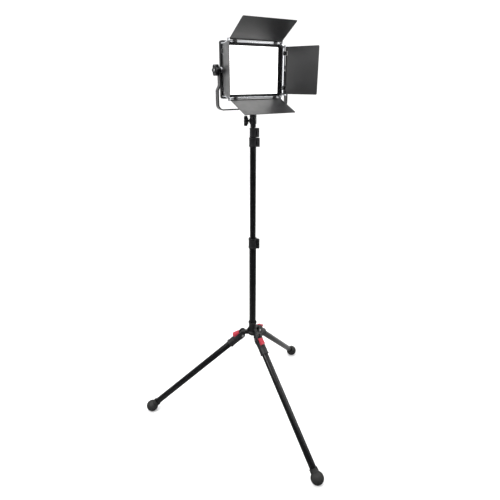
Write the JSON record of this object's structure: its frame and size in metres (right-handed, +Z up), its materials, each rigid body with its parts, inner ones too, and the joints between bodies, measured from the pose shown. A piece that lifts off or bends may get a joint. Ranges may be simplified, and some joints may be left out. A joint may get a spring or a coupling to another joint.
{
  "type": "led panel light on telescopic stand",
  "caption": "LED panel light with folding barn doors on a tilting yoke, on a telescopic stand with folding legs, red release buttons and ball feet.",
  "frame": {"origin": "on the floor, under the middle of the whole outline; the pole stands a little behind it", "axes": "+Z up, the lamp faces -Y, +X across the lamp"},
  "size_m": [0.9431, 0.836, 1.7648],
  "materials": {
    "black_anodised": "satin black anodised tube",
    "black_alloy": "satin black alloy",
    "black_rubber": "matt rubber",
    "red_plastic": "satin red plastic",
    "bright_steel": "bright turned steel",
    "silver_aluminium": "satin silver anodised strip",
    "door_black": "satin black coated sheet",
    "black_paint": "satin black paint on steel strip",
    "diffuser_white": "milky diffuser sheet",
    "circuit_board": "coated circuit board",
    "screen_glass": "dark glossy window",
    "black_plastic": "fine-grained black moulding"
  },
  "bodies": {
    "stand_base": {"leg_hub": "black_plastic", "lower_tube": "black_anodised", "lower_clamp_collar": "black_plastic", "leg_pin_1": "black_paint", "leg_pin_2": "black_paint", "leg_pin_3": "black_paint"},
    "lower_lever": {"lower_clamp_lever": "black_plastic"},
    "middle_section": {"middle_tube": "black_anodised", "middle_clamp_collar": "black_plastic"},
    "middle_lever": {"middle_clamp_lever": "black_plastic"},
    "upper_section": {"upper_tube": "black_anodised", "upper_clamp_collar": "black_plastic"},
    "upper_lever": {"upper_clamp_lever": "black_plastic"},
    "top_section": {"top_tube": "black_anodised", "spigot_stud": "bright_steel"},
    "bracket": {"spigot_receiver": "black_alloy", "yoke": "black_paint", "yoke_bolt": "bright_steel"},
    "receiver_clamp_knob": {"receiver_knob": "black_plastic"},
    "lamp_head": {"rear_housing": "black_plastic", "front_bezel": "black_plastic", "diffuser": "diffuser_white", "led_board": "circuit_board", "driver_board": "circuit_board", "control_panel": "black_plastic", "display_window": "screen_glass", "dc_socket": "black_plastic", "battery_plate_left": "black_plastic", "battery_plate_right": "black_plastic", "tilt_stud_left": "bright_steel", "tilt_stud_right": "bright_steel", "door_frame": "silver_aluminium", "hinge_rod_top": "bright_steel", "hinge_rod_bottom": "bright_steel", "hinge_rod_left": "bright_steel", "hinge_rod_right": "bright_steel"},
    "tilt_knob_l": {"tilt_knob_left": "black_plastic"},
    "tilt_knob_r": {"tilt_knob_right": "black_plastic"},
    "brightness_control": {"brightness_dial": "black_plastic"},
    "colour_control": {"colour_dial": "black_plastic"},
    "power_rocker": {"power_switch": "black_plastic"},
    "top_door": {"door_top": "door_black"},
    "bottom_door": {"door_bottom": "door_black"},
    "left_door": {"door_left": "door_black"},
    "right_door": {"door_right": "door_black"},
    "leg_1": {"leg_socket_1": "black_plastic", "leg_tube_1": "black_anodised", "foot_1": "black_rubber", "leg_bolt_1": "bright_steel"},
    "leg_button_1": {"release_button_1": "red_plastic"},
    "leg_2": {"leg_socket_2": "black_plastic", "leg_tube_2": "black_anodised", "foot_2": "black_rubber", "leg_bolt_2": "bright_steel"},
    "leg_button_2": {"release_button_2": "red_plastic"},
    "leg_3": {"leg_socket_3": "black_plastic", "leg_tube_3": "black_anodised", "foot_3": "black_rubber", "leg_bolt_3": "bright_steel"},
    "leg_button_3": {"release_button_3": "red_plastic"}
  },
  "joints": [
    {"name": "lower_lever_flip", "type": "hinge", "parent": "stand_base", "child": "lower_lever", "pos_m": [0.01016, 0.10426, 0.91537], "axis": [0, 0, -1], "range_deg": [0, 95]},
    {"name": "middle_lever_flip", "type": "hinge", "parent": "middle_section", "child": "middle_lever", "pos_m": [0.00825, 0.10624, 1.3435], "axis": [0, 0, -1], "range_deg": [0, 95]},
    {"name": "upper_lever_flip", "type": "hinge", "parent": "upper_section", "child": "upper_lever", "pos_m": [0.00652, 0.10804, 1.3805], "axis": [0, 0, -1], "range_deg": [0, 95]},
    {"name": "middle_slide", "type": "slide", "parent": "stand_base", "child": "middle_section", "axis": [0, 0, 1], "range_m": [-0.38, 0]},
    {"name": "upper_slide", "type": "slide", "parent": "middle_section", "child": "upper_section", "axis": [0, 0, 1], "range_m": [0, 0.38]},
    {"name": "top_slide", "type": "slide", "parent": "upper_section", "child": "top_section", "axis": [0, 0, 1], "range_m": [0, 0.38]},
    {"name": "bracket_pan", "type": "hinge", "parent": "top_section", "child": "bracket", "pos_m": [-0.00692, 0.12196, 1.4], "axis": [0, 0, 1], "continuous": true},
    {"name": "receiver_knob_turn", "type": "hinge", "parent": "bracket", "child": "receiver_clamp_knob", "pos_m": [-0.00692, 0.12196, 1.424], "axis": [-0.829, 0.5592, 0], "range_deg": [0, 180]},
    {"name": "head_tilt", "type": "hinge", "parent": "bracket", "child": "lamp_head", "pos_m": [-0.00692, 0.12196, 1.603], "axis": [-1, 0, 0], "range_deg": [-15, 90]},
    {"name": "tilt_knob_left_turn", "type": "hinge", "parent": "lamp_head", "child": "tilt_knob_l", "pos_m": [-0.15523, 0.12196, 1.603], "axis": [-1, 0, 0], "range_deg": [0, 180]},
    {"name": "tilt_knob_right_turn", "type": "hinge", "parent": "lamp_head", "child": "tilt_knob_r", "pos_m": [0.14138, 0.12196, 1.603], "axis": [1, 0, 0], "range_deg": [0, 180]},
    {"name": "top_door_swing", "type": "hinge", "parent": "lamp_head", "child": "top_door", "pos_m": [-0.00692, 0.10036, 1.7032], "axis": [-1, 0, 0], "range_deg": [-123, 55]},
    {"name": "bottom_door_swing", "type": "hinge", "parent": "lamp_head", "child": "bottom_door", "pos_m": [-0.00692, 0.10036, 1.5028], "axis": [1, 0, 0], "range_deg": [-107.5, 59.5]},
    {"name": "left_door_swing", "type": "hinge", "parent": "lamp_head", "child": "left_door", "pos_m": [-0.14522, 0.10336, 1.603], "axis": [0, 0, -1], "range_deg": [-111.5, 46]},
    {"name": "right_door_swing", "type": "hinge", "parent": "lamp_head", "child": "right_door", "pos_m": [0.13137, 0.10336, 1.603], "axis": [0, 0, 1], "range_deg": [-111.5, 46]},
    {"name": "brightness_turn", "type": "hinge", "parent": "lamp_head", "child": "brightness_control", "pos_m": [-0.02392, 0.15906, 1.598], "axis": [0, 1, 0], "range_deg": [-150, 150]},
    {"name": "colour_turn", "type": "hinge", "parent": "lamp_head", "child": "colour_control", "pos_m": [0.01008, 0.15906, 1.598], "axis": [0, 1, 0], "range_deg": [-150, 150]},
    {"name": "power_rock", "type": "hinge", "parent": "lamp_head", "child": "power_rocker", "pos_m": [-0.01893, 0.15726, 1.558], "axis": [0, 0, 1], "range_deg": [0, 5.5]},
    {"name": "leg_1_fold", "type": "hinge", "parent": "stand_base", "child": "leg_1", "pos_m": [-0.0082, 0.07497, 0.46198], "axis": [-0.9996, 0.027, 0], "range_deg": [0, 130]},
    {"name": "leg_1_button", "type": "slide", "parent": "leg_1", "child": "leg_button_1", "axis": [0.0183, 0.6748, -0.7378], "range_m": [0, 0.0025], "stiffness_N_per_m": 700, "springref_m": -0.0005},
    {"name": "leg_2_fold", "type": "hinge", "parent": "stand_base", "child": "leg_2", "pos_m": [0.0344, 0.14435, 0.46198], "axis": [0.4764, -0.8792, 0], "range_deg": [0, 130]},
    {"name": "leg_2_button", "type": "slide", "parent": "leg_2", "child": "leg_button_2", "axis": [-0.5935, -0.3216, -0.7378], "range_m": [0, 0.0025], "stiffness_N_per_m": 700, "springref_m": -0.0005},
    {"name": "leg_3_fold", "type": "hinge", "parent": "stand_base", "child": "leg_3", "pos_m": [-0.04698, 0.14655, 0.46198], "axis": [0.5232, 0.8522, 0], "range_deg": [0, 130]},
    {"name": "leg_3_button", "type": "slide", "parent": "leg_3", "child": "leg_button_3", "axis": [0.5753, -0.3532, -0.7378], "range_m": [0, 0.0025], "stiffness_N_per_m": 700, "springref_m": -0.0005}
  ]
}
